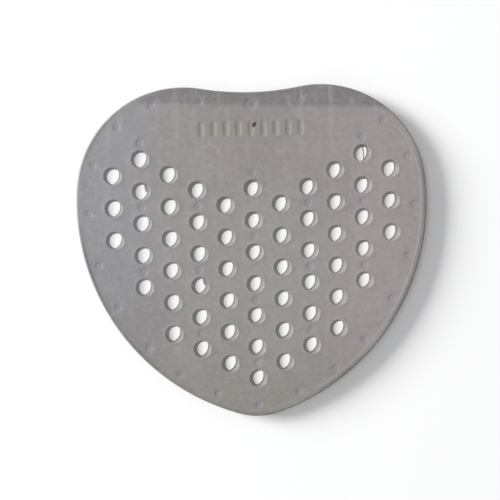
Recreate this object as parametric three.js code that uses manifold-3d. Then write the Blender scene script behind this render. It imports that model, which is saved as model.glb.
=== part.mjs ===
// A heart-shaped rubber mat that lies over the drain of a urinal, carried on short pegs
// and pierced by a honeycomb of drain holes.
// Millimetres, +Z up. The mat lies flat: +Y points to the notch between its two lobes.
// The origin is under the middle of the mat, on the plane of the peg feet.

import * as THREE from 'three';
import { mergeVertices } from 'three/addons/utils/BufferGeometryUtils.js';
import Module from 'manifold-3d';

const wasm = await Module();
wasm.setup();

// Outline of the mat
const MAT_WIDTH = 175.4;
const MAT_LENGTH = 166.2;
const SHOULDER_RADIUS = 53.3;
const FLANK_RADIUS = 111.1;
const TIP_RADIUS = 32.1;
const NOTCH_DEPTH = 3.1;
const OUTLINE_STEP = 4.4;

// Section of the sheet
const SHEET_THICKNESS = 4;
const EDGE_ROUND_WIDTH = 1;
const EDGE_ROUND_DROP = 0.9;
const FOOT_BEVEL = 0.5;
const EDGE_ROUND_STEPS = 4;

// Drain holes: round at the top, drawn in to a leaning almond at the bottom. The almond
// bulges more to one side of its long axis, and its middle lies beside that of the mouth.
const HOLE_PITCH = 16;
const HOLE_DIAMETER = 8.4;
const HOLE_RIM_BEVEL = 0.25;
const ALMOND_LENGTH = 7.6;
const ALMOND_LEFT_BULGE = 2.9;
const ALMOND_RIGHT_BULGE = 1.6;
const ALMOND_LEAN = 24;
const ALMOND_SHIFT_X = 0.9;
const ALMOND_SHIFT_Y = -0.5;
const HOLE_SIDES = 16;
const HOLE_FIELD_Y = 0.3;
const HOLE_EDGE_LAND = 4;

// Pegs under the sheet, and the sink mark that each leaves on top
const PEG_DIAMETER = 3.8;
const PEG_FOOT_DIAMETER = 3;
const PEG_HEIGHT = 4.5;
const PEG_SIDES = 12;
const EDGE_PEG_INSET = 6.1;
const SINK_DIAMETER = 3.8;
const SINK_DEPTH = 0.25;
const GATE_DIAMETER = 6.4;
const GATE_DEPTH = 0.3;

// Row of plain grip bars sunk in the bare field below the notch
const BAR_COUNT = 9;
const BAR_SPACING = 6.2;
const BAR_WIDTH = 2.4;
const BAR_LENGTH = 7.4;
const BAR_DEPTH = 0.3;
const BAR_ROW_Y = 62;
const BAR_END_SIDES = 4;

// How far a cutter stands past the face that it cuts, and a peg into the sheet
const OVERRUN = 1;

const SHEET_BOTTOM = PEG_HEIGHT;
const SHEET_TOP = SHEET_BOTTOM + SHEET_THICKNESS;
const COLUMN_SPACING = (HOLE_PITCH * Math.sqrt(3)) / 2;

// Holes in each column, from the middle column outwards: rows above the middle, and count
const DRAIN_COLUMNS = [
  { top: 2, count: 7 },
  { top: 1.5, count: 6 },
  { top: 2, count: 6 },
  { top: 2.5, count: 6 },
  { top: 3, count: 5 },
  { top: 2.5, count: 3 },
];

// Edge pegs down each side, as shares of the way round from the notch to the tip
const EDGE_PEG_SHARES = [
  0, 0.099, 0.194, 0.273, 0.36, 0.456, 0.558, 0.649, 0.749, 0.83, 0.915, 1,
];

// Pegs stand in every second gap of every second column
const PEG_COLUMNS = [
  { column: 0, top: 2.5, count: 4 },
  { column: 2, top: 1.5, count: 3 },
  { column: 4, top: 3.5, count: 3 },
];
const PEG_ROW_STEP = 2;

// The right half of the outline is four arcs, each meeting the next without a corner:
// a hollow notch, a round shoulder, a long flank and the rounded tip.
function outlineArcs() {
  const flankX = MAT_WIDTH / 2 - FLANK_RADIUS;
  const tipY = TIP_RADIUS - MAT_LENGTH / 2;
  const flankReach = FLANK_RADIUS - TIP_RADIUS;
  const flankY = tipY + Math.sqrt(flankReach ** 2 - flankX ** 2);
  const shoulderY = MAT_LENGTH / 2 - SHOULDER_RADIUS;
  const shoulderReach = FLANK_RADIUS - SHOULDER_RADIUS;
  const shoulderX = flankX + Math.sqrt(shoulderReach ** 2 - (flankY - shoulderY) ** 2);

  // The dip can't be deeper than the two lobes leave room for
  const depth = Math.min(NOTCH_DEPTH, (0.4 * shoulderX ** 2) / SHOULDER_RADIUS);
  const notchRadius = (shoulderX ** 2 + depth ** 2) / (2 * depth) - SHOULDER_RADIUS;
  const notchY = MAT_LENGTH / 2 - depth + notchRadius;

  const notchEnd = Math.atan2(shoulderY - notchY, shoulderX);
  const shoulderEnd = Math.atan2(shoulderY - flankY, shoulderX - flankX);
  const flankEnd = Math.atan2(tipY - flankY, -flankX);
  return [
    { x: 0, y: notchY, radius: notchRadius, from: -Math.PI / 2, to: notchEnd, hollow: true },
    { x: shoulderX, y: shoulderY, radius: SHOULDER_RADIUS, from: notchEnd + Math.PI, to: shoulderEnd },
    { x: flankX, y: flankY, radius: FLANK_RADIUS, from: shoulderEnd, to: flankEnd },
    { x: 0, y: tipY, radius: TIP_RADIUS, from: flankEnd, to: -Math.PI / 2 },
  ];
}

// Points of the whole outline, moved inwards by inset: from the middle of the notch,
// anticlockwise seen from above
function outlinePoints(inset) {
  const right = [];
  for (const arc of outlineArcs()) {
    const steps = Math.ceil((Math.abs(arc.to - arc.from) * arc.radius) / OUTLINE_STEP);
    const radius = arc.hollow ? arc.radius + inset : arc.radius - inset;
    for (let i = 0; i < steps; i += 1) {
      const angle = THREE.MathUtils.lerp(arc.from, arc.to, i / steps);
      right.push(new THREE.Vector2(
        arc.x + radius * Math.cos(angle),
        arc.y + radius * Math.sin(angle),
      ));
    }
  }
  const tip = new THREE.Vector2(0, inset - MAT_LENGTH / 2);
  const left = right.slice(1).map((point) => new THREE.Vector2(-point.x, point.y));
  return [right[0], ...left, tip, ...right.slice(1).reverse()];
}

// Points on a circle, the first one at the angle start
function circlePoints(diameter, sides, start = 0) {
  const points = [];
  for (let i = 0; i < sides; i += 1) {
    const angle = start + (i / sides) * 2 * Math.PI;
    const radius = diameter / 2;
    points.push(new THREE.Vector2(radius * Math.cos(angle), radius * Math.sin(angle)));
  }
  return points;
}

// The almond: two arcs that meet in a point at each end of its length, with its upper
// end at the angle start
function almondPoints(sides, start) {
  const middle = new THREE.Vector2(ALMOND_SHIFT_X, ALMOND_SHIFT_Y);
  const points = [];
  for (const [side, bulge] of [[1, ALMOND_LEFT_BULGE], [-1, ALMOND_RIGHT_BULGE]]) {
    const radius = ((ALMOND_LENGTH / 2) ** 2 + bulge ** 2) / (2 * bulge);
    const halfAngle = Math.atan2(ALMOND_LENGTH / 2, radius - bulge);
    for (let i = 0; i < sides / 2; i += 1) {
      const angle = halfAngle * (1 - (4 * i) / sides);
      const along = side * radius * Math.sin(angle);
      const across = side * (radius * Math.cos(angle) - radius + bulge);
      const point = new THREE.Vector2(along, across).rotateAround(new THREE.Vector2(), start);
      points.push(point.add(middle));
    }
  }
  return points;
}

// Every place of a honeycomb column and its mirror image
function latticePlaces(column, top, count, step) {
  const places = [];
  const sides = column === 0 ? [0] : [-column, column];
  for (const side of sides) {
    for (let i = 0; i < count; i += 1) {
      const y = HOLE_FIELD_Y + (top - i * step) * HOLE_PITCH;
      places.push(new THREE.Vector2(side * COLUMN_SPACING, y));
    }
  }
  return places;
}

// True where a round feature of this diameter keeps its land to the edge of the mat
function hasRoom(place, diameter) {
  const edge = outlinePoints(diameter / 2 + HOLE_EDGE_LAND);
  let inside = false;
  edge.forEach((a, i) => {
    const b = edge[(i + 1) % edge.length];
    const crosses = (a.y > place.y) !== (b.y > place.y);
    if (crosses && place.x < a.x + ((place.y - a.y) * (b.x - a.x)) / (b.y - a.y)) {
      inside = !inside;
    }
  });
  return inside;
}

function holePlaces() {
  return DRAIN_COLUMNS
    .flatMap(({ top, count }, column) => latticePlaces(column, top, count, 1))
    .filter((place) => hasRoom(place, HOLE_DIAMETER));
}

// Pegs down both sides of the edge, starting under the notch
function edgePegPlaces() {
  const loop = outlinePoints(EDGE_PEG_INSET);
  const path = loop.slice(0, loop.length / 2 + 1);
  const reach = [0];
  for (let i = 1; i < path.length; i += 1) {
    reach.push(reach[i - 1] + path[i].distanceTo(path[i - 1]));
  }
  const places = [];
  EDGE_PEG_SHARES.forEach((share, k) => {
    const target = share * reach.at(-1);
    const i = Math.max(1, reach.findIndex((value) => value >= target));
    const part = (target - reach[i - 1]) / (reach[i] - reach[i - 1]);
    const place = path[i - 1].clone().lerp(path[i], part);
    places.push(place);
    if (k > 0 && k < EDGE_PEG_SHARES.length - 1) {
      places.push(new THREE.Vector2(-place.x, place.y));
    }
  });
  return places;
}

function fieldPegPlaces() {
  return PEG_COLUMNS
    .flatMap(({ column, top, count }) => latticePlaces(column, top, count, PEG_ROW_STEP))
    .filter((place) => hasRoom(place, PEG_DIAMETER));
}

// A closed solid through a stack of sections with equal numbers of points,
// each section a list of points and the height at which it lies
function loft(sections, place = new THREE.Vector2()) {
  const count = sections[0].points.length;
  const positions = [];
  for (const { points, z } of sections) {
    for (const point of points) {
      positions.push(point.x + place.x, point.y + place.y, z);
    }
  }
  const index = [];
  for (let level = 0; level < sections.length - 1; level += 1) {
    for (let i = 0; i < count; i += 1) {
      const a = level * count + i;
      const b = level * count + ((i + 1) % count);
      index.push(a, b, b + count, a, b + count, a + count);
    }
  }
  const topStart = (sections.length - 1) * count;
  for (const [a, b, c] of THREE.ShapeUtils.triangulateShape(sections[0].points, [])) {
    index.push(c, b, a);
  }
  for (const [a, b, c] of THREE.ShapeUtils.triangulateShape(sections.at(-1).points, [])) {
    index.push(topStart + a, topStart + b, topStart + c);
  }
  const geometry = new THREE.BufferGeometry();
  geometry.setAttribute('position', new THREE.Float32BufferAttribute(positions, 3));
  geometry.setIndex(index);
  return toSolid(geometry);
}

function toSolid(geometry) {
  const merged = mergeVertices(geometry);
  return new wasm.Manifold(new wasm.Mesh({
    numProp: 3,
    vertProperties: new Float32Array(merged.attributes.position.array),
    triVerts: new Uint32Array(merged.index.array),
  }));
}

function toGeometry(solid) {
  const { vertProperties, triVerts } = solid.getMesh();
  const geometry = new THREE.BufferGeometry();
  geometry.setAttribute('position', new THREE.BufferAttribute(vertProperties, 3));
  geometry.setIndex(new THREE.BufferAttribute(triVerts, 1));
  geometry.computeVertexNormals();
  return geometry;
}

// The plain sheet, with a small bevel below and a rounded edge above
function sheetSolid() {
  const sections = [
    { points: outlinePoints(FOOT_BEVEL), z: SHEET_BOTTOM },
    { points: outlinePoints(0), z: SHEET_BOTTOM + FOOT_BEVEL },
  ];
  for (let i = 0; i <= EDGE_ROUND_STEPS; i += 1) {
    const angle = (i / EDGE_ROUND_STEPS) * (Math.PI / 2);
    const inset = EDGE_ROUND_WIDTH * (1 - Math.cos(angle));
    const z = SHEET_TOP - EDGE_ROUND_DROP * (1 - Math.sin(angle));
    sections.push({ points: outlinePoints(inset), z });
  }
  return loft(sections);
}

// What is cut away for one drain hole
function holeCutter(place) {
  const start = Math.PI / 2 - THREE.MathUtils.degToRad(ALMOND_LEAN);
  const almond = almondPoints(HOLE_SIDES, start);
  const bore = circlePoints(HOLE_DIAMETER, HOLE_SIDES, start);
  const mouth = circlePoints(HOLE_DIAMETER + 2 * HOLE_RIM_BEVEL, HOLE_SIDES, start);
  return loft([
    { points: almond, z: -OVERRUN },
    { points: almond, z: SHEET_BOTTOM },
    { points: bore, z: SHEET_TOP - HOLE_RIM_BEVEL },
    { points: mouth, z: SHEET_TOP },
    { points: mouth, z: SHEET_TOP + OVERRUN },
  ], place);
}

// One peg, a little narrower at its foot
function pegSolid(place) {
  return loft([
    { points: circlePoints(PEG_FOOT_DIAMETER, PEG_SIDES), z: 0 },
    { points: circlePoints(PEG_DIAMETER, PEG_SIDES), z: SHEET_BOTTOM },
    { points: circlePoints(PEG_DIAMETER, PEG_SIDES), z: SHEET_BOTTOM + OVERRUN },
  ], place);
}

// A shallow sunk disc with sloping sides
function sinkCutter(place, diameter, depth) {
  return loft([
    { points: circlePoints(diameter / 2, PEG_SIDES), z: SHEET_TOP - depth },
    { points: circlePoints(diameter, PEG_SIDES), z: SHEET_TOP },
    { points: circlePoints(diameter, PEG_SIDES), z: SHEET_TOP + OVERRUN },
  ], place);
}

// One upright grip bar with round ends
function barCutter(place) {
  const straight = Math.max(0, BAR_LENGTH - BAR_WIDTH) / 2;
  const points = [];
  for (const end of [0, 1]) {
    for (let i = 0; i <= BAR_END_SIDES; i += 1) {
      const angle = Math.PI * (end + i / BAR_END_SIDES);
      points.push(new THREE.Vector2(
        (BAR_WIDTH / 2) * Math.cos(angle),
        (BAR_WIDTH / 2) * Math.sin(angle) + (end ? -straight : straight),
      ));
    }
  }
  return loft([
    { points, z: SHEET_TOP - BAR_DEPTH },
    { points, z: SHEET_TOP + OVERRUN },
  ], place);
}

function barPlaces() {
  const places = [];
  for (let i = 0; i < BAR_COUNT; i += 1) {
    places.push(new THREE.Vector2((i - (BAR_COUNT - 1) / 2) * BAR_SPACING, BAR_ROW_Y));
  }
  return places;
}

function matGeometry() {
  const edgePegs = edgePegPlaces();
  const pegs = [...edgePegs, ...fieldPegPlaces()];
  let solid = sheetSolid();
  for (const place of pegs) {
    solid = solid.add(pegSolid(place));
  }
  for (const place of holePlaces()) {
    solid = solid.subtract(holeCutter(place));
  }
  for (const place of pegs.slice(1)) {
    solid = solid.subtract(sinkCutter(place, SINK_DIAMETER, SINK_DEPTH));
  }
  solid = solid.subtract(sinkCutter(edgePegs[0], GATE_DIAMETER, GATE_DEPTH));
  for (const place of barPlaces()) {
    solid = solid.subtract(barCutter(place));
  }
  return toGeometry(solid);
}

const rubber = new THREE.MeshStandardMaterial({
  color: 0x97928f,
  roughness: 0.45,
  metalness: 0,
});
rubber.name = 'grey_rubber';

const mat = new THREE.Mesh(matGeometry(), rubber);
mat.name = 'screen_mat';

const part = new THREE.Group();
part.name = 'urinal_screen';
part.add(mat);

export default part;
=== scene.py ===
import math

import bpy
from mathutils import Euler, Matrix, Vector, geometry, kdtree, noise


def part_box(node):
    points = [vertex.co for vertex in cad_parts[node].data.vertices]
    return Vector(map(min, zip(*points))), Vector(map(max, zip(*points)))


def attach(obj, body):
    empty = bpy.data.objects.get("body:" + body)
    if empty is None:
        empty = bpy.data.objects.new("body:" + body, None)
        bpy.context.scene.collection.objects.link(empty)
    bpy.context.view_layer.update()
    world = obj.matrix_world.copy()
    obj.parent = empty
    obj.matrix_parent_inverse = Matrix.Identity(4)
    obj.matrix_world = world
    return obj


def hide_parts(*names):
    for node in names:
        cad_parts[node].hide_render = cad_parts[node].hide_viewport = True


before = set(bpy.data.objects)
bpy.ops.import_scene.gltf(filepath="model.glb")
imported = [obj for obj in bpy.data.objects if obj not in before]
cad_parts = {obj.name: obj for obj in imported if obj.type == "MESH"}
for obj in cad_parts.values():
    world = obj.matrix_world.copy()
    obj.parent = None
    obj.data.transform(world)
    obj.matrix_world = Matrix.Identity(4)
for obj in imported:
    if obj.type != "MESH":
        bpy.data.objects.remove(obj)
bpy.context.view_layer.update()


# The sheet
# One heart-shaped sheet of soft grey vinyl rubber, moulded flat with a small round on its
# upper edge. Its drain holes are round at the top and draw in to a leaning almond below.

MM = 0.001
low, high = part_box("screen_mat")
MAT_WIDTH = high[0] - low[0]
MAT_LENGTH = high[1] - low[1]
SHEET_TOP = high[2]
SHEET_BOTTOM = 4.5 * MM

SHOULDER_RADIUS = 53.3 * MM
FLANK_RADIUS = 111.1 * MM
TIP_RADIUS = 32.1 * MM
NOTCH_DEPTH = 3.1 * MM
OUTLINE_STEP = 1.3 * MM

EDGE_ROUND_WIDTH = 1 * MM
EDGE_ROUND_DROP = 0.9 * MM
EDGE_ROUND_STEPS = 10
FOOT_BEVEL = 0.5 * MM

HOLE_PITCH = 16 * MM
COLUMN_SPACING = HOLE_PITCH * math.sqrt(3) / 2
HOLE_FIELD_Y = 0.3 * MM
HOLE_RADIUS = 4.2 * MM
HOLE_RIM_ROUND = 0.3 * MM
HOLE_RIM_STEPS = 4
HOLE_WALL_STEPS = 6
HOLE_SIDES = 48
ALMOND_LENGTH = 7.6 * MM
ALMOND_LEFT_BULGE = 3.3 * MM
ALMOND_RIGHT_BULGE = 1.6 * MM
ALMOND_WORN_BULGE = 0.8 * MM
WORN_FROM_X = -10 * MM
WORN_REACH = 50 * MM
ALMOND_LEAN = math.radians(24)
ALMOND_SHIFT = Vector((0.9 * MM, -0.5 * MM))

# Each column of holes from the middle outwards: its top hole's row, and how many holes
DRAIN_COLUMNS = [(2, 7), (1.5, 6), (2, 6), (2.5, 6), (3, 5), (2.5, 3)]

# Column, its top peg's row, and how many pegs, two rows apart
PEG_COLUMNS = [(0, 2.5, 4), (2, 1.5, 3), (4, 3.5, 3)]

# How far along the edge, from the notch to the tip, each edge peg stands
EDGE_PEG_SHARES = [0, 0.099, 0.194, 0.273, 0.36, 0.456, 0.558, 0.649, 0.749, 0.83, 0.915, 1]
EDGE_PEG_INSET = 6.1 * MM
SINK_RADIUS = 1.9 * MM
SINK_DEPTH = 0.28 * MM
SINK_DEEPEST = 0.45 * SINK_RADIUS
SINK_SLOPE = 0.75 * SINK_RADIUS
SINK_MEAN_SHARE = 0.75
SINK_UNEVEN = 0.5
SINK_GRAIN = 0.8 * MM
GATE_RADIUS = 3.2 * MM
GATE_DEPTH = 0.3 * MM
GATE_FLOOR = 0.7 * GATE_RADIUS
GATE_SLOPE = 0.4 * GATE_RADIUS

BAR_COUNT = 9
BAR_SPACING = 6.2 * MM
BAR_WIDTH = 2.4 * MM
BAR_LENGTH = 7.4 * MM
BAR_DEPTH = 0.22 * MM
BAR_SLOPE = 0.7 * MM
BAR_ROW_Y = 62 * MM

BORDER_WIDTH = 2.8 * MM
BORDER_RISE = 0.09 * MM
BORDER_LEAST_SHARE = 0.3
BORDER_FROM = -30 * MM
BORDER_REACH = 90 * MM
BORDER_SLOPE = 0.5 * MM
LIP_WIDTH = 0.9 * MM
LIP_RISE = 0.07 * MM
LIP_CREST = 0.3 * LIP_WIDTH
LIP_SLOPE = 0.7 * LIP_WIDTH

# Rings of close mesh points: how far out, as a share of the slope, the lip or the mark,
# and how many points in each round one
BORDER_RINGS = (-0.5, 0, 0.33, 0.66, 1, 1.8)
LIP_RINGS = ((0.3, 36), (0.65, 32), (1.05, 30))
SINK_RINGS = ((0.25, 8), (0.5, 14), (0.75, 18), (1.0, 22), (1.25, 24))

RIM_WIDTH = 0.1 * MM
RIM_FADE = 1.3 * MM
WIDE_RIM_WIDTH = 1.4 * MM
WIDE_RIM_FADE = 1 * MM
SINK_TINT_RING = 0.9
SINK_TINT_FADE = 0.8

SWELL_HEIGHT = 0.16 * MM
SWELL_LENGTH = 34 * MM
TOP_GRID = 2 * MM
BAR_GRID = 0.6 * MM
UNDERSIDE_GRID = 6 * MM
GRID_ROW_SHARE = 0.866
CORNER_ANGLE = math.radians(38)


def outline_arcs():
    """Four arcs of the right half, as (centre x, centre y, radius, from, to, hollow)."""
    flank_x = MAT_WIDTH / 2 - FLANK_RADIUS
    tip_y = TIP_RADIUS - MAT_LENGTH / 2
    flank_y = tip_y + math.sqrt((FLANK_RADIUS - TIP_RADIUS) ** 2 - flank_x**2)
    shoulder_y = MAT_LENGTH / 2 - SHOULDER_RADIUS
    reach = FLANK_RADIUS - SHOULDER_RADIUS
    shoulder_x = flank_x + math.sqrt(reach**2 - (flank_y - shoulder_y) ** 2)
    notch_radius = (shoulder_x**2 + NOTCH_DEPTH**2) / (2 * NOTCH_DEPTH) - SHOULDER_RADIUS
    notch_y = MAT_LENGTH / 2 - NOTCH_DEPTH + notch_radius
    notch_end = math.atan2(shoulder_y - notch_y, shoulder_x)
    shoulder_end = math.atan2(shoulder_y - flank_y, shoulder_x - flank_x)
    flank_end = math.atan2(tip_y - flank_y, -flank_x)
    return [
        (0, notch_y, notch_radius, -math.pi / 2, notch_end, True),
        (shoulder_x, shoulder_y, SHOULDER_RADIUS, notch_end + math.pi, shoulder_end, False),
        (flank_x, flank_y, FLANK_RADIUS, shoulder_end, flank_end, False),
        (0, tip_y, TIP_RADIUS, flank_end, -math.pi / 2, False),
    ]


def outline(inset):
    """The mat's outline moved inwards, anticlockwise from the middle of the notch."""
    right = []
    for x, y, radius, start, end, hollow in outline_arcs():
        steps = math.ceil(abs(end - start) * radius / OUTLINE_STEP)
        reach = radius + inset if hollow else radius - inset
        for i in range(steps):
            angle = start + (end - start) * i / steps
            right.append(Vector((x + reach * math.cos(angle), y + reach * math.sin(angle))))
    tip = Vector((0, inset - MAT_LENGTH / 2))
    left = [Vector((-p.x, p.y)) for p in right[1:]]
    return [right[0], *left, tip, *reversed(right[1:])]


def circle(centre, radius, sides, start=0.0):
    """Points round a circle, anticlockwise from the angle start."""
    turn = [start + 2 * math.pi * i / sides for i in range(sides)]
    return [centre + radius * Vector((math.cos(a), math.sin(a))) for a in turn]


def ease(t):
    """0 to 1 without a corner at either end."""
    t = min(1.0, max(0.0, t))
    return t * t * (3 - 2 * t)


def almond(centre):
    """Two arcs, the left one fuller and most so at the mat's left, that meet in two points."""
    worn = ease((WORN_FROM_X - centre.x) / WORN_REACH)
    left_bulge = ALMOND_LEFT_BULGE + ALMOND_WORN_BULGE * worn
    along = Vector((math.sin(ALMOND_LEAN), math.cos(ALMOND_LEAN)))
    across = Vector((-along.y, along.x))
    half = HOLE_SIDES // 2
    points = []
    for flip, bulge in ((1, left_bulge), (-1, ALMOND_RIGHT_BULGE)):
        radius = ((ALMOND_LENGTH / 2) ** 2 + bulge**2) / (2 * bulge)
        half_angle = math.atan2(ALMOND_LENGTH / 2, radius - bulge)
        for i in range(half):
            angle = half_angle * (1 - 2 * i / half)
            run = flip * radius * math.sin(angle)
            rise = flip * (radius * math.cos(angle) - radius + bulge)
            points.append(centre + ALMOND_SHIFT + run * along + rise * across)
    return points


def column_places(column, top, count, step):
    """Places down one honeycomb column and its mirror image."""
    sides = [0] if column == 0 else [-column, column]
    return [
        Vector((side * COLUMN_SPACING, HOLE_FIELD_Y + (top - i * step) * HOLE_PITCH))
        for side in sides
        for i in range(count)
    ]


def edge_peg_places():
    """Places down both sides of the edge, the first one under the notch."""
    loop = outline(EDGE_PEG_INSET)
    path = loop[: len(loop) // 2 + 1]
    reach = [0.0]
    for a, b in zip(path, path[1:]):
        reach.append(reach[-1] + (b - a).length)
    places = []
    for k, share in enumerate(EDGE_PEG_SHARES):
        target = reach[-1] * share
        i = next(n for n in range(1, len(reach)) if reach[n] >= target)
        part = (target - reach[i - 1]) / (reach[i] - reach[i - 1])
        place = path[i - 1].lerp(path[i], part)
        places.append(place)
        if 0 < k < len(EDGE_PEG_SHARES) - 1:
            places.append(Vector((-place.x, place.y)))
    return places


holes = [p for c, (top, n) in enumerate(DRAIN_COLUMNS) for p in column_places(c, top, n, 1)]
edge_pegs = edge_peg_places()
pegs = edge_pegs + [p for c, top, n in PEG_COLUMNS for p in column_places(c, top, n, 2)]
bars = [Vector(((i - (BAR_COUNT - 1) / 2) * BAR_SPACING, BAR_ROW_Y)) for i in range(BAR_COUNT)]


def near_tree(places):
    """A search tree over flat places."""
    tree = kdtree.KDTree(len(places))
    for i, place in enumerate(places):
        tree.insert((place.x, place.y, 0), i)
    tree.balance()
    return tree


edge_tree = near_tree(outline(0))
hole_tree = near_tree(holes)
sink_tree = near_tree(pegs[1:])


def edge_distance(point):
    """How far a point lies inside the outline."""
    found = edge_tree.find_n((point.x, point.y, 0), 2)
    a, b = (Vector(co[:2]) for co, _, _ in found)
    run = (b - a).normalized()
    return abs((point - a).dot(Vector((-run.y, run.x))))


def top_height(point):
    """Height of the upper face: border, lips, sink marks, grip bars and slow swells."""
    spot = Vector((point.x, point.y, 0))
    height = SHEET_TOP + SWELL_HEIGHT * (noise.noise(spot / SWELL_LENGTH) - 0.5)
    inset = edge_distance(point) - BORDER_WIDTH
    lower_right = ease((point.x - 0.5 * point.y - BORDER_FROM) / BORDER_REACH)
    share = BORDER_LEAST_SHARE + (1 - BORDER_LEAST_SHARE) * lower_right
    height += BORDER_RISE * share * (1 - ease(inset / BORDER_SLOPE))
    away = hole_tree.find(spot)[2] - HOLE_RADIUS - HOLE_RIM_ROUND
    height += LIP_RISE * (1 - ease(abs(away - LIP_CREST) / LIP_SLOPE))
    away = sink_tree.find(spot)[2]
    if away < 2 * SINK_RADIUS:
        ring = abs(away - SINK_DEEPEST) / SINK_SLOPE
        rough = SINK_MEAN_SHARE + SINK_UNEVEN * noise.noise(spot / SINK_GRAIN)
        height -= SINK_DEPTH * rough * (1 - ease(ring))
    away = (point - edge_pegs[0]).length
    height -= GATE_DEPTH * (1 - ease((away - GATE_FLOOR) / GATE_SLOPE))
    for place in bars:
        run = max(0.0, abs(point.y - place.y) - (BAR_LENGTH - BAR_WIDTH) / 2)
        away = math.hypot(point.x - place.x, run)
        height -= BAR_DEPTH * (1 - ease((away - BAR_WIDTH / 2) / BAR_SLOPE + 0.5))
    return height


def hex_points(spacing, keep):
    """Points on a triangular grid over the mat, where keep(point) is true."""
    rows = int(MAT_LENGTH / spacing / GRID_ROW_SHARE) + 2
    columns = int(MAT_WIDTH / spacing) + 2
    points = []
    for r in range(rows):
        for c in range(columns):
            x = (c + (r % 2) / 2) * spacing - MAT_WIDTH / 2
            y = r * spacing * GRID_ROW_SHARE - MAT_LENGTH / 2
            point = Vector((x, y))
            if keep(point):
                points.append(point)
    return points


def nearest(point, places):
    """Distance from a point to the nearest of several places."""
    return min((point - place).length for place in places)


def inside(point, loop):
    """True where a point lies within a closed loop."""
    found = False
    for a, b in zip(loop, loop[1:] + loop[:1]):
        if (a.y > point.y) != (b.y > point.y):
            if point.x < a.x + (point.y - a.y) * (b.x - a.x) / (b.y - a.y):
                found = not found
    return found


class Shell:
    """Vertices and faces of one mesh, put together from rings and flat fields."""

    def __init__(self):
        self.points = []
        self.faces = []

    def ring(self, loop, height):
        """Adds a loop of points at one height, or at height(point), and gives its numbers."""
        start = len(self.points)
        for p in loop:
            self.points.append((p.x, p.y, height(p) if callable(height) else height))
        return list(range(start, len(self.points)))

    def strip(self, lower, upper):
        """Faces between two rings of equal length, facing out of an anticlockwise wall."""
        for i in range(len(lower)):
            j = (i + 1) % len(lower)
            self.faces.append((lower[i], lower[j], upper[j], upper[i]))

    def field(self, outer, inner, spare, height, up):
        """A flat field inside the ring outer and outside each ring of inner."""
        numbers = list(outer)
        edges = [(i, (i + 1) % len(outer)) for i in range(len(outer))]
        for ring in inner:
            start = len(numbers)
            numbers += ring
            edges += [(start + i, start + (i + 1) % len(ring)) for i in range(len(ring))]
        numbers += self.ring(spare, height)
        flat = [Vector(self.points[n][:2]) for n in numbers]
        result = geometry.delaunay_2d_cdt(flat, edges, [], 0, 1e-9)
        border = [flat[i] for i in range(len(outer))]
        rims = set(range(len(outer)))
        owner = {}
        start = len(outer)
        for k, ring in enumerate(inner):
            for i in range(len(ring)):
                owner[start + i] = k
            start += len(ring)
        source = [group[0] for group in result[3]]

        # What lies in a gap or outside the border is left out
        for a, b, c in result[2]:
            a, b, c = source[a], source[b], source[c]
            gap = owner.get(a)
            if gap is not None and gap == owner.get(b) == owner.get(c):
                continue
            if rims.issuperset((a, b, c)) and not inside((flat[a] + flat[b] + flat[c]) / 3, border):
                continue
            face = (numbers[a], numbers[b], numbers[c])
            self.faces.append(face if up else face[::-1])

    def mesh(self, name):
        """The finished mesh, smooth but for its true corners."""
        mesh = bpy.data.meshes.new(name)
        mesh.from_pydata(self.points, [], self.faces)
        mesh.validate()
        mesh.shade_smooth()
        mesh.set_sharp_from_angle(angle=CORNER_ANGLE)
        return mesh


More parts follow.
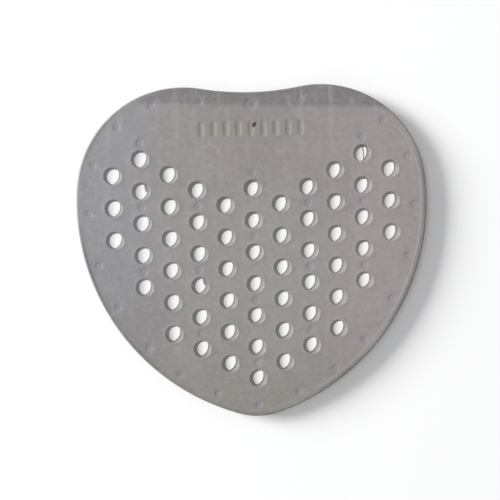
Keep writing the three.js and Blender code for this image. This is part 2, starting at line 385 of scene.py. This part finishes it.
def build_sheet():
    """The whole sheet as one closed shell."""
    shell = Shell()

    # Outer wall, from the small bevel at the foot to the end of the upper round
    profile = [(FOOT_BEVEL, SHEET_BOTTOM), (FOOT_BEVEL / 4, SHEET_BOTTOM + FOOT_BEVEL / 4)]
    profile.append((0, SHEET_BOTTOM + FOOT_BEVEL))
    for i in range(EDGE_ROUND_STEPS + 1):
        angle = math.pi / 2 * i / EDGE_ROUND_STEPS
        inset = EDGE_ROUND_WIDTH * (1 - math.cos(angle))
        profile.append((inset, SHEET_TOP - EDGE_ROUND_DROP * (1 - math.sin(angle))))
    wall = [shell.ring(outline(inset), z) for inset, z in profile[:-1]]
    wall.append(shell.ring(outline(EDGE_ROUND_WIDTH), top_height))
    for lower, upper in zip(wall, wall[1:]):
        shell.strip(lower, upper)

    # Hole walls, from the almond below to the round mouth above
    mouths = []
    throats = []
    start = math.pi / 2 - ALMOND_LEAN
    for place in holes:
        throat = almond(place)
        bore = circle(place, HOLE_RADIUS, HOLE_SIDES, start)
        rings = []
        for i in range(HOLE_WALL_STEPS + 1):
            share = i / HOLE_WALL_STEPS
            z = SHEET_BOTTOM + share * (SHEET_TOP - HOLE_RIM_ROUND - SHEET_BOTTOM)
            rings.append(shell.ring([a.lerp(b, share) for a, b in zip(throat, bore)], z))
        for i in range(1, HOLE_RIM_STEPS + 1):
            angle = math.pi / 2 * i / HOLE_RIM_STEPS
            radius = HOLE_RADIUS + HOLE_RIM_ROUND * (1 - math.cos(angle))
            drop = HOLE_RIM_ROUND * (1 - math.sin(angle))
            loop = circle(place, radius, HOLE_SIDES, start)
            rings.append(shell.ring(loop, lambda p, drop=drop: top_height(p) - drop))
        for lower, upper in zip(rings, rings[1:]):
            shell.strip(upper, lower)
        throats.append(rings[0])
        mouths.append(rings[-1])

    # Upper field, with close points at the border, round each hole and sink mark, and
    # under the grip bars
    border = outline(BORDER_WIDTH + 2 * BORDER_SLOPE + 0.4 * TOP_GRID)
    clear = HOLE_RADIUS + LIP_WIDTH + 0.6 * TOP_GRID
    bar_half_x = BAR_COUNT * BAR_SPACING / 2
    bar_half_y = BAR_LENGTH / 2 + BAR_SLOPE + BAR_GRID

    def in_bars(p):
        return abs(p.x) < bar_half_x and abs(p.y - BAR_ROW_Y) < bar_half_y

    spare = []
    for place in holes:
        for reach, sides in LIP_RINGS:
            radius = HOLE_RADIUS + HOLE_RIM_ROUND + reach * LIP_WIDTH
            spare += circle(place, radius, sides)
    for reach in BORDER_RINGS:
        spare += outline(BORDER_WIDTH + reach * BORDER_SLOPE)
    for place in pegs:
        reach = GATE_RADIUS if place is pegs[0] else SINK_RADIUS
        spare.append(place)
        for ring, sides in SINK_RINGS:
            spare += circle(place, ring * reach, sides)
    spare += hex_points(
        TOP_GRID,
        lambda p: inside(p, border)
        and nearest(p, holes) > clear
        and nearest(p, pegs) > 1.6 * SINK_RADIUS
        and (p - pegs[0]).length > 1.5 * GATE_RADIUS
        and not in_bars(p),
    )
    spare += hex_points(BAR_GRID, in_bars)
    shell.field(wall[-1], mouths, spare, top_height, True)

    # Underside
    foot = outline(FOOT_BEVEL + 0.5 * UNDERSIDE_GRID)
    spare = hex_points(
        UNDERSIDE_GRID, lambda p: inside(p, foot) and nearest(p, holes) > 1.4 * HOLE_RADIUS
    )
    shell.field(wall[0], throats, spare, SHEET_BOTTOM, False)
    mesh = shell.mesh("sheet")

    # How near each point is to the edge and to a sink mark, and which side of a hole's
    # wall it is on, for the tint of the sink marks and the painted shade and highlights there
    tint_and_shade_marks = {"rim": [], "wide_rim": [], "sink": [], "wall_side": []}
    for vertex in mesh.vertices:
        spot = Vector((vertex.co.x, vertex.co.y, 0))
        away = edge_distance(spot.xy)
        tint_and_shade_marks["rim"].append(1 - ease((away - RIM_WIDTH) / RIM_FADE))
        tint_and_shade_marks["wide_rim"].append(1 - ease((away - WIDE_RIM_WIDTH) / WIDE_RIM_FADE))
        away = sink_tree.find(spot)[2] / SINK_RADIUS
        tint_and_shade_marks["sink"].append(1 - ease(abs(away - SINK_TINT_RING) / SINK_TINT_FADE))
        centre, _, reach = hole_tree.find(spot)
        on_wall = vertex.co.z < SHEET_TOP - 0.5 * HOLE_RIM_ROUND
        on_wall = on_wall and reach < HOLE_RADIUS + HOLE_RIM_ROUND
        tint_and_shade_marks["wall_side"].append((spot.x - centre.x) / HOLE_RADIUS if on_wall else 0)
    for name, values in tint_and_shade_marks.items():
        shares = mesh.attributes.new(name, "FLOAT", "POINT")
        shares.data.foreach_set("value", values)
    return mesh


sheet = bpy.data.objects.new("sheet", build_sheet())
bpy.context.scene.collection.objects.link(sheet)


class Value:
    """A shader socket that reads as a number in ordinary sums."""

    def __init__(self, tree, socket):
        self.tree = tree
        self.socket = socket

    def sum(self, operation, *others, swap=False):
        values = [self, *others]
        if swap:
            values.reverse()
        return self.tree.add("ShaderNodeMath", {"operation": operation}, *values)

    def __add__(self, other):
        return self.sum("ADD", other)

    __radd__ = __add__

    def __sub__(self, other):
        return self.sum("SUBTRACT", other)

    def __rsub__(self, other):
        return self.sum("SUBTRACT", other, swap=True)

    def __mul__(self, other):
        return self.sum("MULTIPLY", other)

    __rmul__ = __mul__

    def __truediv__(self, other):
        return self.sum("DIVIDE", other)

    def __pow__(self, other):
        return self.sum("POWER", other)

    def __abs__(self):
        return self.sum("ABSOLUTE")

    def most(self, other):
        return self.sum("MAXIMUM", other)


class Finish:
    """One material, with a method that adds any node."""

    def __init__(self, name):
        self.material = bpy.data.materials.new(name)
        self.material.use_nodes = True
        self.nodes = self.material.node_tree.nodes
        self.links = self.material.node_tree.links
        self.nodes.clear()

    def add(self, kind, settings=None, *values, out=0, **named):
        """A node of that kind: its settings, then its sockets by place or by name."""
        node = self.nodes.new(kind)
        for key, value in (settings or {}).items():
            setattr(node, key, value)
        sockets = list(enumerate(values))
        sockets += [(key.replace("_", " "), value) for key, value in named.items()]
        for key, value in sockets:
            if value is None:
                continue
            if isinstance(value, Value):
                self.links.new(value.socket, node.inputs[key])
            else:
                node.inputs[key].default_value = value
        return Value(self, node.outputs[out]) if len(node.outputs) else node

    def shade(self, shader):
        """Makes that shader the surface."""
        self.add("ShaderNodeOutputMaterial", None, shader)
        return self.material

    def step(self, value, start, end):
        """0 below start and 1 above end, smooth between."""
        settings = {"interpolation_type": "SMOOTHSTEP"}
        return self.add("ShaderNodeMapRange", settings, value, start, end, 0.0, 1.0)

    def blend(self, share, a, b):
        """Colour a turning to colour b as share goes from 0 to 1."""
        unused = [None] * 5
        return self.add("ShaderNodeMix", {"data_type": "RGBA"}, share, *unused, a, b, out=2)

    def between(self, value, *limits):
        """0 below the first limit, 1 from the second to the third, 0 above the fourth."""
        return self.step(value, *limits[:2]) * (1 - self.step(value, *limits[2:]))

    def mark(self, name):
        """A number that the mesh itself carries at each point."""
        return self.add("ShaderNodeAttribute", {"attribute_name": name}, out=2)

    def place(self):
        """Where a point lies on its object, whole and as x, y and z."""
        place = self.add("ShaderNodeTexCoord", None, out=3)
        node = self.add("ShaderNodeSeparateXYZ", None, place).socket.node
        return place, *[Value(self, socket) for socket in node.outputs]

    def spread(self, place, scale, detail, rough, squeeze=None):
        """Cloudy noise from 0 to 1 with patches of about 1/scale metres."""
        if squeeze:
            place = self.add("ShaderNodeMapping", None, place, Scale=squeeze)
        return self.add(
            "ShaderNodeTexNoise", None, Vector=place, Scale=scale, Detail=detail, Roughness=rough
        )


RUBBER_MIDDLE = (0.304, 0.286, 0.28, 1)
RUBBER_UPPER = (0.288, 0.263, 0.256, 1)
# Painted cool reflection at the left of the mat
PAINTED_LEFT_REFLECTION = (0.281, 0.279, 0.292, 1)
# Painted light at the right of the mat
PAINTED_RIGHT_LIGHT = (0.332, 0.294, 0.292, 1)
RUBBER_LOW = (0.265, 0.243, 0.219, 1)
# Painted shade over the top strip
PAINTED_STRIP_SHADE = (0.206, 0.19, 0.196, 1)
# Darker tone of the vinyl, also used for painted shade
DARK_TONE_AND_SHADE = (0.21, 0.2, 0.2, 1)
# Paler tone of the vinyl, also used for painted light
PALE_TONE_AND_LIGHT = (0.41, 0.396, 0.39, 1)
SINK_BLUE = (0.255, 0.25, 0.295, 1)
# Painted highlight just inside the left edge
PAINTED_EDGE_HIGHLIGHT = (0.37, 0.38, 0.43, 1)
BAR_OLIVE = (0.27, 0.262, 0.222, 1)
DIRT_BROWN = (0.035, 0.018, 0.014, 1)
# Painted shade on the rim of the outer edge
PAINTED_RIM_SHADE = (0.15, 0.145, 0.143, 1)
SCUFF_RED = (0.48, 0.36, 0.37, 1)

# Each cloudy noise: its scale, detail, roughness and, where it is drawn out, its squeeze
PATCHES = (22, 2.0, 0.5)
CLOUDS = (60, 4.0, 0.55)
MOTTLE = (330, 3.0, 0.6)
GRAIN = (900, 2.0, 0.6)
STREAKS = (260, 2.0, 0.6, (1, 0.07, 1))
VEINS = (46, 1.0, 0.4, (1, 0.45, 1))
SCUFFED = (95, 1.0, 0.5)

TOP_FADE = (SHEET_TOP - 2 * MM, SHEET_TOP - 1 * MM)
LEFT_FADE = (-78 * MM, -22 * MM)
RIGHT_FADE = (5 * MM, 80 * MM)
UPPER_FADE = (5 * MM, 50 * MM)
FOOT_FADE = (-88 * MM, -14 * MM)
LOWER_LEFT_FADE = (-40 * MM, 20 * MM)
LOWER_RIGHT_FADE = (-60 * MM, -10 * MM)
LOWER_RIGHT_TILT = 0.7
EDGE_HIGHLIGHT_FADE = (-20 * MM, 15 * MM)
STREAK_FADE = (0, 60 * MM)
STRIP_FADE = (72 * MM, 75 * MM)
STRIP_TILT = 0.04
STRIP_WANDER = 0.12
STRIP_LEFT_FADE = (-78 * MM, -40 * MM)
FADE_WANDER = 24 * MM
WALL_RIGHT_FADE = (0.1, 0.9)
WALL_LEFT_FADE = (-0.1, -0.9)
STREAK_LEVEL = 0.52
SCUFFED_FADE = (0.5, 0.62)
HAIR_EDGE = (0.001, 0.007)
SINK_MOTTLE = 0.25

FOOT_SHARE = 0.85
STRIP_LEFT_SHARE = 0.5
SINK_SHARE = 2
LOWER_LEFT_SHARE = 0.45
LOWER_RIGHT_SHADE_SHARE = 0.5
EDGE_HIGHLIGHT_SHARE = 0.4
RIM_SHADE_SHARE = 0.35
RIM_LEFT_SHADE_SHARE = 0.35
# Painted shade on the right of each hole's wall and painted light on its left
WALL_SHADE_SHARE = 0.7
WALL_LIGHT_SHARE = 0.5
STREAK_SHARE = 1.6
STREAK_UPPER_SHARE = 0.6
STREAK_LEAST_SHARE = 0.15
HAIR_SHARE = 0.22
SCRATCH_SHARE = 0.35
TINT_SHARE = 0.35
SCUFF_SHARE = 0.8

# How much paler and how much darker each noise makes the vinyl
CLOUD_SHARES = (0.5, 0.6)
MOTTLE_SHARES = (1.0, 0.9)
GRAIN_SHARES = (0.7, 0.6)

SCRATCH_TOP = Vector((39.2 * MM, 81 * MM))
SCRATCH_LEAN = -0.031
SCRATCH_EDGE = (0.05 * MM, 0.3 * MM)
SCRATCH_ENDS = (46 * MM, 52 * MM, 80 * MM, 82 * MM)
TINT_X = (-33 * MM, -26 * MM, 27 * MM, 34 * MM)
TINT_Y = (54 * MM, 58 * MM, 64.5 * MM, 68 * MM)

SCUFF_PLACE = Vector((76.3 * MM, 22.8 * MM))
SCUFF_STRETCH = 0.35
SCUFF_RAGGED = 0.8 * MM
SCUFF_EDGE = (0.1 * MM, 0.7 * MM)
DIRT_PLACE = Vector((1.6 * MM, 63.9 * MM))
DIRT_LEAN = 0.35
DIRT_STRETCH = 0.62
DIRT_RAGGED = 1.1 * MM
DIRT_EDGE = (0.55 * MM, 1.21 * MM)

SATIN_ROUGHNESS = 0.42
CLOUD_ROUGHNESS = 0.2
DIRT_ROUGHNESS = 0.3
CLOUD_BUMP = 0.5
GRAIN_BUMP = 0.12
BUMP_HEIGHT = 0.12 * MM
BUMP_STRENGTH = 0.35
VINYL_IOR = 1.48


def rubber_material():
    """Satin grey vinyl, cloudy and scuffed, with a painted cool reflection at the left, painted
    light at the right and painted shade over its top strip.
    """
    make = Finish("grey_vinyl")
    place, x, y, z = make.place()
    on_top = make.step(z, *TOP_FADE)
    rim = make.mark("rim")
    wide_rim = make.mark("wide_rim")
    wall_side = make.mark("wall_side")

    patches = make.spread(place, *PATCHES)
    clouds = make.spread(place, *CLOUDS)
    mottle = make.spread(place, *MOTTLE)
    grain = make.spread(place, *GRAIN)
    streaks = make.spread(place, *STREAKS)

    # Wide changes of tone over the mat, among them a painted cool reflection at the left,
    # painted light at the right and painted shade over the top strip
    wander = (patches - 0.5) * FADE_WANDER
    left = 1 - make.step(x + wander, *LEFT_FADE)
    right = make.step(x + wander, *RIGHT_FADE)
    upper = make.step(y + wander, *UPPER_FADE)
    foot = 1 - make.step(y + wander, *FOOT_FADE)
    lower_left = left * (1 - make.step(y, *LOWER_LEFT_FADE))
    strip = make.step(y + x * STRIP_TILT + wander * STRIP_WANDER, *STRIP_FADE)
    full = make.step(x, *STRIP_LEFT_FADE)
    strip = strip * (full * (1 - STRIP_LEFT_SHARE) + STRIP_LEFT_SHARE)
    colour = make.blend(upper, RUBBER_MIDDLE, RUBBER_UPPER)
    # A painted cool reflection lightens and cools the left
    colour = make.blend(left, colour, PAINTED_LEFT_REFLECTION)
    # Painted light makes the right paler and warmer
    colour = make.blend(right, colour, PAINTED_RIGHT_LIGHT)
    colour = make.blend(foot * FOOT_SHARE, colour, RUBBER_LOW)
    colour = make.blend(lower_left * LOWER_LEFT_SHARE, colour, DARK_TONE_AND_SHADE)
    # Painted shade darkens the top strip
    colour = make.blend(strip, colour, PAINTED_STRIP_SHADE)

    # Sink marks, then painted shade along the lower right edge and the rim, a painted highlight
    # at the left edge, and painted shade and light on the right and left of each hole's wall
    sink = make.mark("sink") * (mottle - SINK_MOTTLE).most(0) * SINK_SHARE
    lower_right = 1 - make.step(y - x * LOWER_RIGHT_TILT, *LOWER_RIGHT_FADE)
    # A painted highlight just inside the left edge
    edge_highlight = wide_rim * (1 - rim) * left * make.step(y, *EDGE_HIGHLIGHT_FADE)
    colour = make.blend(sink, colour, SINK_BLUE)
    # Painted shade along the lower right edge
    colour = make.blend(wide_rim * lower_right * LOWER_RIGHT_SHADE_SHARE, colour, DARK_TONE_AND_SHADE)
    # Painted shade on the rim, deepest at the left
    colour = make.blend(rim * (RIM_SHADE_SHARE + left * RIM_LEFT_SHADE_SHARE), colour, PAINTED_RIM_SHADE)
    colour = make.blend(edge_highlight * EDGE_HIGHLIGHT_SHARE, colour, PAINTED_EDGE_HIGHLIGHT)
    # Painted shade on the right side of each hole's wall and painted light on its left
    wall_shade = make.step(wall_side, *WALL_RIGHT_FADE)
    wall_light = make.step(wall_side, *WALL_LEFT_FADE)
    colour = make.blend(wall_shade * WALL_SHADE_SHARE, colour, DARK_TONE_AND_SHADE)
    colour = make.blend(wall_light * WALL_LIGHT_SHARE, colour, PALE_TONE_AND_LIGHT)

    # Clouds, mottling, grain and upright streaks
    shares = ((clouds, CLOUD_SHARES), (mottle, MOTTLE_SHARES), (grain, GRAIN_SHARES))
    for cloud, (pale, dark) in shares:
        colour = make.blend((cloud - 0.5).most(0) * pale, colour, PALE_TONE_AND_LIGHT)
        colour = make.blend((0.5 - cloud).most(0) * dark, colour, DARK_TONE_AND_SHADE)
    streaky = make.step(y, *STREAK_FADE) * STREAK_UPPER_SHARE + STREAK_LEAST_SHARE
    streaky = (streaks - STREAK_LEVEL).most(0) * streaky
    colour = make.blend(streaky * STREAK_SHARE, colour, PALE_TONE_AND_LIGHT)

    # Thin pale scratches: one long and straight, the others in loose curves
    veins = make.spread(place, *VEINS)
    scuffed = make.step(make.spread(place, *SCUFFED), *SCUFFED_FADE)
    hair = (1 - make.step(abs(veins - 0.5), *HAIR_EDGE)) * scuffed
    line = (y - SCRATCH_TOP.y) * SCRATCH_LEAN + SCRATCH_TOP.x
    straight = 1 - make.step(abs(x - line), *SCRATCH_EDGE)
    straight = straight * make.between(y, *SCRATCH_ENDS)
    scratches = (hair * HAIR_SHARE).most(straight * SCRATCH_SHARE) * on_top
    colour = make.blend(scratches, colour, PALE_TONE_AND_LIGHT)

    # An olive tint at the grip bars, a reddish scuff by the right edge and a speck of dirt
    tint = make.between(x, *TINT_X) * make.between(y, *TINT_Y)
    colour = make.blend(tint * on_top * TINT_SHARE, colour, BAR_OLIVE)
    scuff_x = (x - SCUFF_PLACE.x) * SCUFF_STRETCH
    scuff_y = y - SCUFF_PLACE.y
    away = (scuff_x * scuff_x + scuff_y * scuff_y) ** 0.5 + (grain - 0.5) * SCUFF_RAGGED
    scuff = (1 - make.step(away, *SCUFF_EDGE)) * on_top
    colour = make.blend(scuff * SCUFF_SHARE, colour, SCUFF_RED)
    dirt_x = x - DIRT_PLACE.x - (y - DIRT_PLACE.y) * DIRT_LEAN
    dirt_y = (y - DIRT_PLACE.y) * DIRT_STRETCH
    away = (dirt_x * dirt_x + dirt_y * dirt_y) ** 0.5 + (grain - 0.5) * DIRT_RAGGED
    dirt = (1 - make.step(away, *DIRT_EDGE)) * on_top
    colour = make.blend(dirt, colour, DIRT_BROWN)

    rough = SATIN_ROUGHNESS + (clouds - 0.5) * CLOUD_ROUGHNESS + dirt * DIRT_ROUGHNESS
    height = clouds * CLOUD_BUMP + grain * GRAIN_BUMP
    bump = {"Strength": BUMP_STRENGTH, "Distance": BUMP_HEIGHT, "Height": height}
    normal = make.add("ShaderNodeBump", None, **bump)
    shader = make.add(
        "ShaderNodeBsdfPrincipled",
        None,
        Base_Color=colour,
        Roughness=rough,
        Normal=normal,
        IOR=VINYL_IOR,
    )
    return make.shade(shader)


grey_vinyl = rubber_material()
sheet.data.materials.append(grey_vinyl)
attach(sheet, "root")
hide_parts("screen_mat")


# The pegs
# Short pegs moulded in one with the sheet carry it clear of the bowl, so that water runs
# away under it. They stand in a ring near the edge and in the gaps between the holes.

PEG_ROOT_RADIUS = 1.9 * MM
PEG_FOOT_RADIUS = 1.5 * MM
PEG_SIDES = 32
PEG_ROOTING = 0.5 * MM
PEG_BEVEL = 0.3 * MM
PEG_BEVEL_STEPS = 3


def peg_tree():
    """Places a tapered peg on every point that it is given."""
    tree = bpy.data.node_groups.new("pegs on points", "GeometryNodeTree")
    face = tree.interface
    face.new_socket("Geometry", in_out="INPUT", socket_type="NodeSocketGeometry")
    for name in ("Root radius", "Foot radius", "Length"):
        face.new_socket(name, in_out="INPUT", socket_type="NodeSocketFloat")
    face.new_socket("Material", in_out="INPUT", socket_type="NodeSocketMaterial")
    face.new_socket("Geometry", in_out="OUTPUT", socket_type="NodeSocketGeometry")
    given = tree.nodes.new("NodeGroupInput")
    result = tree.nodes.new("NodeGroupOutput")
    cone = tree.nodes.new("GeometryNodeMeshCone")
    cone.inputs["Vertices"].default_value = PEG_SIDES
    points = tree.nodes.new("GeometryNodeInstanceOnPoints")
    realize = tree.nodes.new("GeometryNodeRealizeInstances")
    paint = tree.nodes.new("GeometryNodeSetMaterial")
    link = tree.links.new
    link(given.outputs["Root radius"], cone.inputs["Radius Top"])
    link(given.outputs["Foot radius"], cone.inputs["Radius Bottom"])
    link(given.outputs["Length"], cone.inputs["Depth"])
    link(given.outputs["Geometry"], points.inputs["Points"])
    link(cone.outputs["Mesh"], points.inputs["Instance"])
    link(points.outputs["Instances"], realize.inputs["Geometry"])
    link(realize.outputs["Geometry"], paint.inputs["Geometry"])
    link(given.outputs["Material"], paint.inputs["Material"])
    link(paint.outputs["Geometry"], result.inputs["Geometry"])
    return tree


def grown(name, points, tree, inputs, finish=None):
    """Runs a tree on a set of points and gives back the plain object that it makes."""
    seed = bpy.data.meshes.new(name + "_points")
    seed.from_pydata(points, [], [])
    maker = bpy.data.objects.new(name + "_maker", seed)
    bpy.context.scene.collection.objects.link(maker)
    modifier = maker.modifiers.new("grow", "NODES")
    modifier.node_group = tree
    for item in tree.interface.items_tree:
        if item.in_out == "INPUT" and item.name in inputs:
            modifier[item.identifier] = inputs[item.name]
    if finish:
        finish(maker)
    view = bpy.context.evaluated_depsgraph_get()
    mesh = bpy.data.meshes.new_from_object(maker.evaluated_get(view))
    piece = bpy.data.objects.new(name, mesh)
    bpy.context.scene.collection.objects.link(piece)
    bpy.data.objects.remove(maker)
    return piece


def soften(maker):
    """Rounds the peg's corners."""
    bevel = maker.modifiers.new("soften", "BEVEL")
    bevel.width = PEG_BEVEL
    bevel.segments = PEG_BEVEL_STEPS


peg_length = SHEET_BOTTOM + PEG_ROOTING
peg_seat = [(p.x, p.y, 0) for p in pegs]
feet = grown(
    "pegs",
    peg_seat,
    peg_tree(),
    {
        "Root radius": PEG_ROOT_RADIUS,
        "Foot radius": PEG_FOOT_RADIUS,
        "Length": peg_length,
        "Material": grey_vinyl,
    },
    soften,
)
feet.data.shade_smooth()
feet.data.set_sharp_from_angle(angle=CORNER_ANGLE)
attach(feet, "root")


# The flash
# Moulding has left thin flash in three of the holes: a flap across the upper right of two
# of them at the left of the mat, and a strand across one at the upper right.

FLAP_HEIGHT = 6.4 * MM
STRAND_HEIGHT = 4.8 * MM
FLASH_THICKNESS = 0.5 * MM

# Corners, in millimetres from the middle of the hole
UPPER_FLAP = [(1.5, 3.9), (1.6, 1.6), (1.9, 0.2), (2.7, -0.5), (4.3, -0.6), (4.3, 3.9)]
LOWER_FLAP = [(1.3, 3.9), (1.4, 1.8), (1.7, 0.5), (2.4, -0.1), (4.3, -0.3), (4.3, 3.9)]
STRAND_LEFT = [(0.55, 3.8), (0.75, 1.5), (1.0, 0), (0.9, -2.9)]
STRAND_RIGHT = [(1.3, -3), (1.45, 0), (1.2, 1.5), (1, 3.8)]

# Column and row of the hole, height of the flash and its corners
FLASH = [
    (-4, 2, FLAP_HEIGHT, UPPER_FLAP),
    (-2, -1, FLAP_HEIGHT, LOWER_FLAP),
    (4, 3, STRAND_HEIGHT, STRAND_LEFT + STRAND_RIGHT),
]

shell = Shell()
for column, row, height, corners in FLASH:
    place = Vector((column * COLUMN_SPACING, HOLE_FIELD_Y + row * HOLE_PITCH))
    loop = [place + Vector(corner) * MM for corner in corners]
    under = shell.ring(loop, height)
    over = shell.ring(loop, height + FLASH_THICKNESS)
    shell.strip(under, over)
    shell.faces += [tuple(over), tuple(reversed(under))]
flash = bpy.data.objects.new("flash", shell.mesh("flash"))
bpy.context.scene.collection.objects.link(flash)
flash.data.materials.append(grey_vinyl)
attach(flash, "root")


# The floor, the lamps and the camera
# A white table, with painted light glowing on it under the mat and a painted shadow at the left
# of each column of holes. A wide lamp stands low at the left and a smaller one above it, and
# the camera looks almost straight down.

FLOOR_SIZE = 3.0
FLOOR_PAPER = (0.97, 0.97, 0.97, 1)
FLOOR_GLOW = 0.03
# Painted light glowing on the paper under the mat, for the camera and for the mat above it
UNDER_GLOW = 0.62
SEEP_GLOW = 0.4

UNDER_SIDE = 77 * MM
UNDER_TOP = 56 * MM
UNDER_TIP = -70 * MM
UNDER_FLANK = 64 * MM
FLANK_ACROSS = 0.782
FLANK_DOWN = 0.623
UNDER_FADE = (-1 * MM, 1 * MM)

# Painted shadow at the left of each column of holes
SHADE_DEPTH = 0.46
SHADE_FADE = (-4.5 * MM, 1.5 * MM)
SEEN_SCALE = 0.981
SEEN_SHIFT = -0.4 * MM
FIRST_COLUMN = -20.5

floor_mesh = bpy.data.meshes.new("table")
corner = FLOOR_SIZE / 2
floor_mesh.from_pydata(
    [(-corner, -corner, 0), (corner, -corner, 0), (corner, corner, 0), (-corner, corner, 0)],
    [],
    [(0, 1, 2, 3)],
)
table = bpy.data.objects.new("table", floor_mesh)
bpy.context.scene.collection.objects.link(table)


def table_material():
    """White paper that glows with painted light under the mat, with a painted shadow at the left of
    each hole.
    """
    make = Finish("white_paper")
    _, x, y, _ = make.place()
    flank = abs(x) * FLANK_ACROSS - y * FLANK_DOWN
    past = (abs(x) - UNDER_SIDE).most(y - UNDER_TOP).most(UNDER_TIP - y).most(flank - UNDER_FLANK)
    under = 1 - make.step(past, *UNDER_FADE)
    seen = make.add("ShaderNodeLightPath", None, out=0)

    # A painted shadow darkens the paper at the left of each column of holes, as seen from above
    column = (x * SEEN_SCALE + SEEN_SHIFT) / COLUMN_SPACING - FIRST_COLUMN
    across = (column.sum("FRACT") - 0.5) * COLUMN_SPACING
    shade = (1 - make.step(across, *SHADE_FADE)) * SHADE_DEPTH
    # The glow under the mat is painted light, less the painted shadow beside each column
    strength = under * SEEP_GLOW + seen * (FLOOR_GLOW + under * (UNDER_GLOW - SEEP_GLOW - shade))
    shader = make.add(
        "ShaderNodeBsdfPrincipled",
        None,
        Base_Color=FLOOR_PAPER,
        Roughness=1.0,
        Specular_IOR_Level=0.0,
        Emission_Color=make.blend(strength, (0, 0, 0, 1), (1, 1, 1, 1)),
        Emission_Strength=1.0,
    )
    return make.shade(shader)


floor_mesh.materials.append(table_material())


def lamp(name, place, size, power):
    """A square soft lamp at that place, turned to the middle of the mat."""
    light = bpy.data.lights.new(name, "AREA")
    light.size = size
    light.energy = power
    holder = bpy.data.objects.new(name, light)
    holder.location = place
    holder.rotation_euler = (-Vector(place)).to_track_quat("-Z", "Y").to_euler()
    bpy.context.scene.collection.objects.link(holder)


WINDOW_PLACE = (-4.2, 1.5, 1.9)
WINDOW_SIZE = 2.0
WINDOW_POWER = 350.0
CEILING_PLACE = (-1.8, 0.7, 4.8)
CEILING_SIZE = 1.4
CEILING_POWER = 30.0

lamp("window", WINDOW_PLACE, WINDOW_SIZE, WINDOW_POWER)
lamp("ceiling", CEILING_PLACE, CEILING_SIZE, CEILING_POWER)

ROOM_COLOUR = (0.97, 0.98, 1.0, 1)
ROOM_STRENGTH = 0.36

world = bpy.data.worlds.new("room")
world.use_nodes = True
world.node_tree.nodes["Background"].inputs["Color"].default_value = ROOM_COLOUR
world.node_tree.nodes["Background"].inputs["Strength"].default_value = ROOM_STRENGTH
bpy.context.scene.world = world

CAMERA_PLACE = (-21.26 * MM, 30.45 * MM, 452 * MM)
CAMERA_TILT = (-3.654, -2.56, -1.728)
CAMERA_LENS = 63.92
CAMERA_SENSOR = 36
CAMERA_NEAR = 0.01

lens = bpy.data.cameras.new("camera")
lens.sensor_width = CAMERA_SENSOR
lens.lens = CAMERA_LENS
lens.clip_start = CAMERA_NEAR
camera = bpy.data.objects.new("camera", lens)
camera.location = CAMERA_PLACE
camera.rotation_euler = Euler([math.radians(turn) for turn in CAMERA_TILT], "XYZ")
bpy.context.scene.collection.objects.link(camera)
bpy.context.scene.camera = camera
bpy.context.scene.view_settings.view_transform = "Standard"
